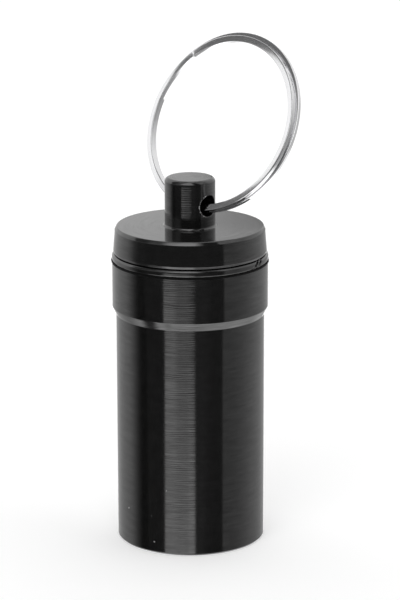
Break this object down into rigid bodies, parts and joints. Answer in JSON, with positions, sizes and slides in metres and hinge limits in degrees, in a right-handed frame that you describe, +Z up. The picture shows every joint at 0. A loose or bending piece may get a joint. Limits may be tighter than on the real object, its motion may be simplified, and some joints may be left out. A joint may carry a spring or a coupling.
{
  "type": "earplug case",
  "caption": "Cylindrical earplug case with a sealed screw cap, and a split key ring through the post on the cap.",
  "frame": {"origin": "centre of the canister's flat base", "axes": "+Z up along the case's axis, from the base to the ring; -Y towards the side that the picture shows; +X to its right"},
  "size_m": [0.0251, 0.0226, 0.0681],
  "materials": {
    "black_anodised_aluminium": "glossy black anodised, finely turned",
    "black_anodised_cap": "glossy black anodised, finely turned",
    "black_anodised_ring": "glossy black anodised",
    "black_rubber": "matt",
    "bright_steel": "bright, drawn and wound wire"
  },
  "bodies": {
    "canister": {"canister": "black_anodised_aluminium"},
    "cap_seat": {"seal_ring": "black_rubber", "slip_ring": "black_anodised_ring"},
    "cap": {"cap": "black_anodised_cap"},
    "split_ring": {"split_ring": "bright_steel"}
  },
  "joints": [
    {"name": "cap_rise", "type": "slide", "parent": "canister", "child": "cap_seat", "axis": [0, 0, 1], "range_m": [0, 0.015]},
    {"name": "cap_turn", "type": "hinge", "parent": "cap_seat", "child": "cap", "pos_m": [0, 0, 0.0384], "axis": [0, 0, 1], "range_deg": [0, 3600]},
    {"name": "ring_swing", "type": "hinge", "parent": "cap", "child": "split_ring", "pos_m": [0, 0, 0.04639], "axis": [-0.7431, 0.6691, 0], "range_deg": [-141, 92]}
  ],
  "couplings": [
    {"joint": "cap_rise", "follows": "cap_turn", "m_per_rad": 0.00023873}
  ]
}
